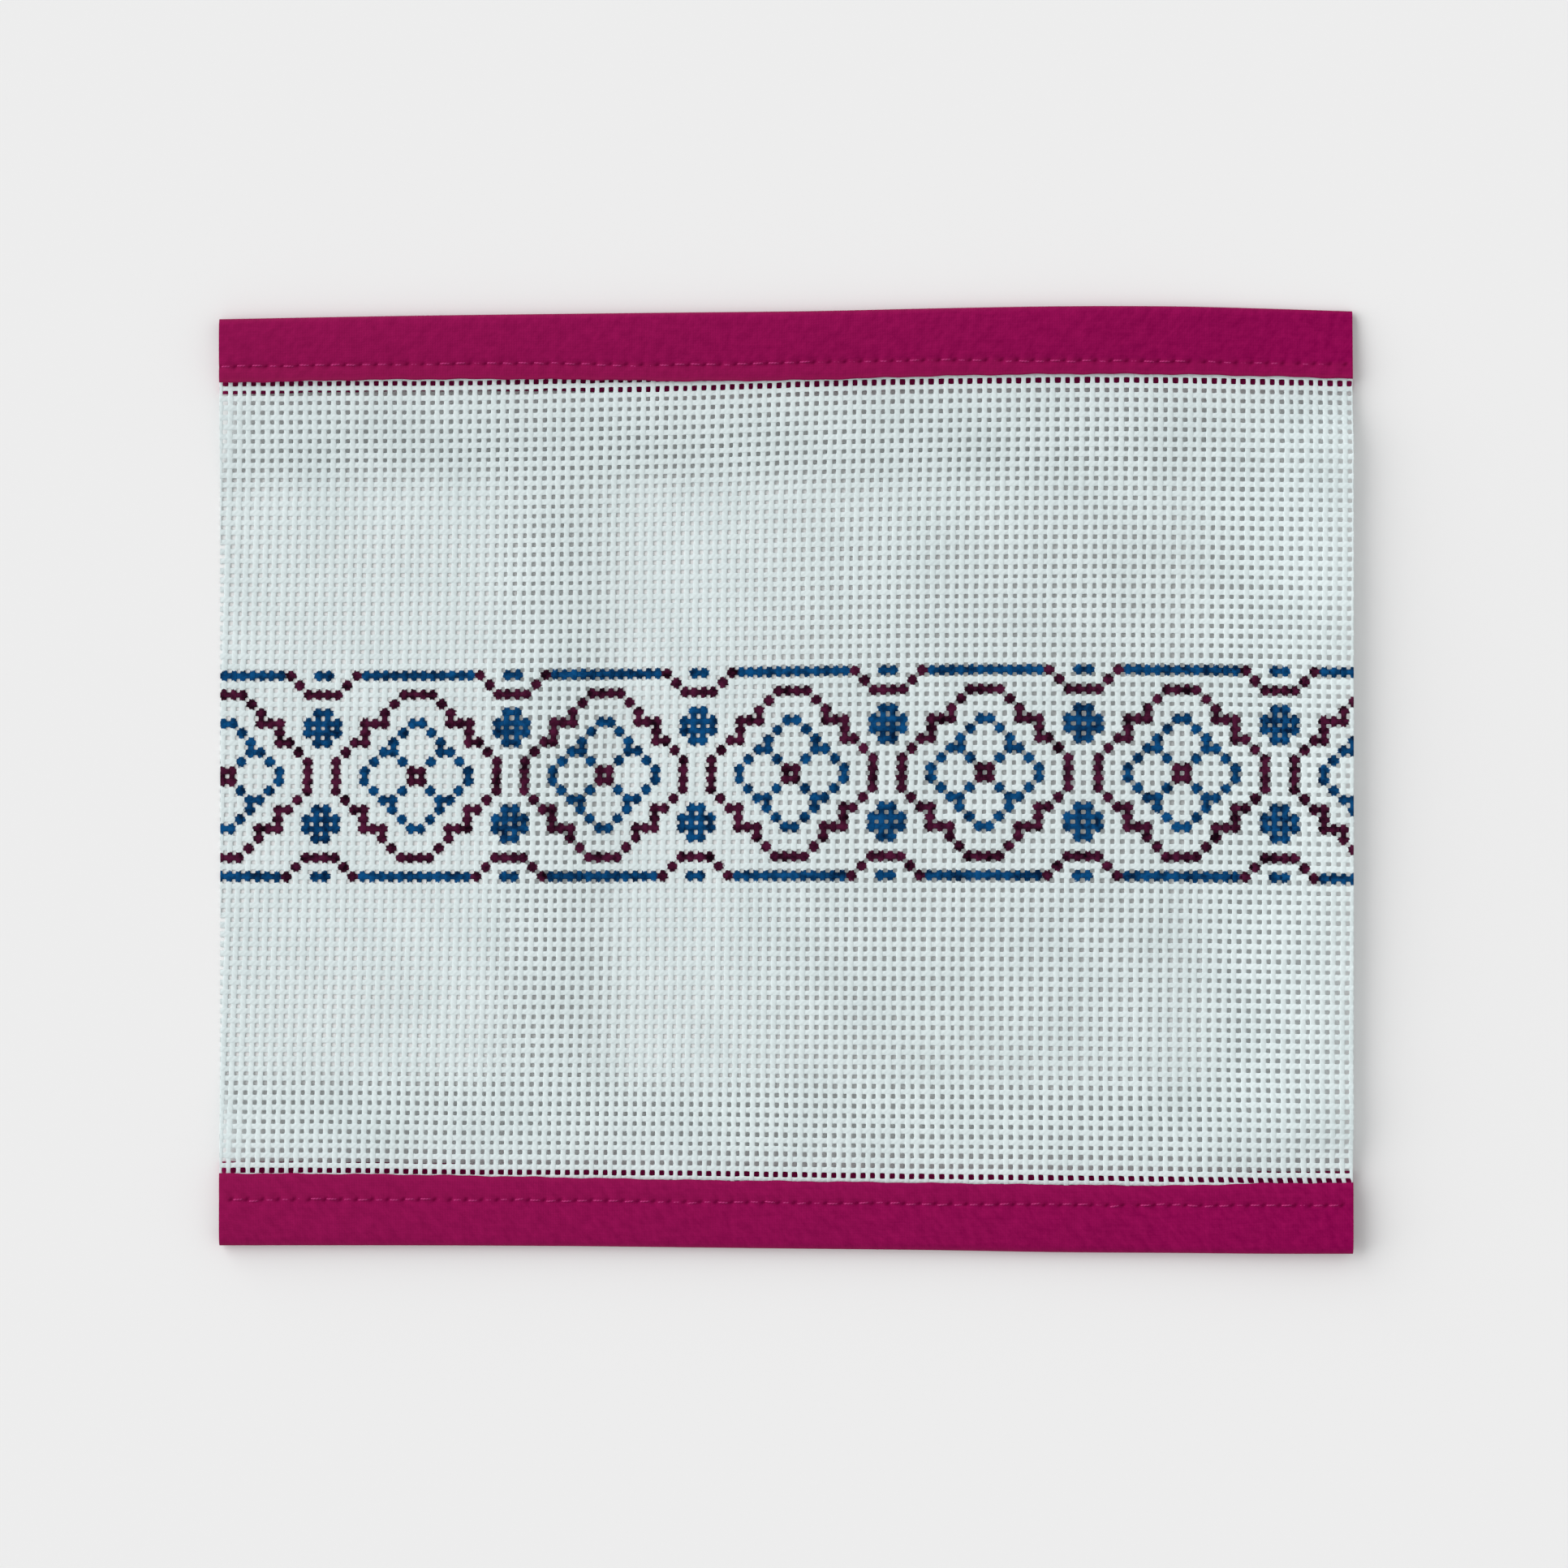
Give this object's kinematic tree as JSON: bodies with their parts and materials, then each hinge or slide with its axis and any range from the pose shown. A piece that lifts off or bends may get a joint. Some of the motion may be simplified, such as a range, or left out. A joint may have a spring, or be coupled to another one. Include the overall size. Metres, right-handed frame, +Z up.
{
  "type": "needlepoint canvas panel",
  "caption": "Flat painted needlepoint canvas panel with a geometric medallion band across it and a folded cotton tape sewn over each long edge.",
  "frame": {"origin": "on the table under the middle of the panel", "axes": "+X along the bound edges, +Y across the panel to the far binding, +Z up out of the painted face"},
  "size_m": [0.1668, 0.1395, 0.0038],
  "materials": {
    "canvas": "stiff open cotton canvas, painted pale mint with a blue and maroon pattern",
    "binding": "matt magenta cotton tape"
  },
  "bodies": {
    "root": {"canvas": "canvas", "binding_far": "binding", "binding_near": "binding"}
  },
  "joints": []
}
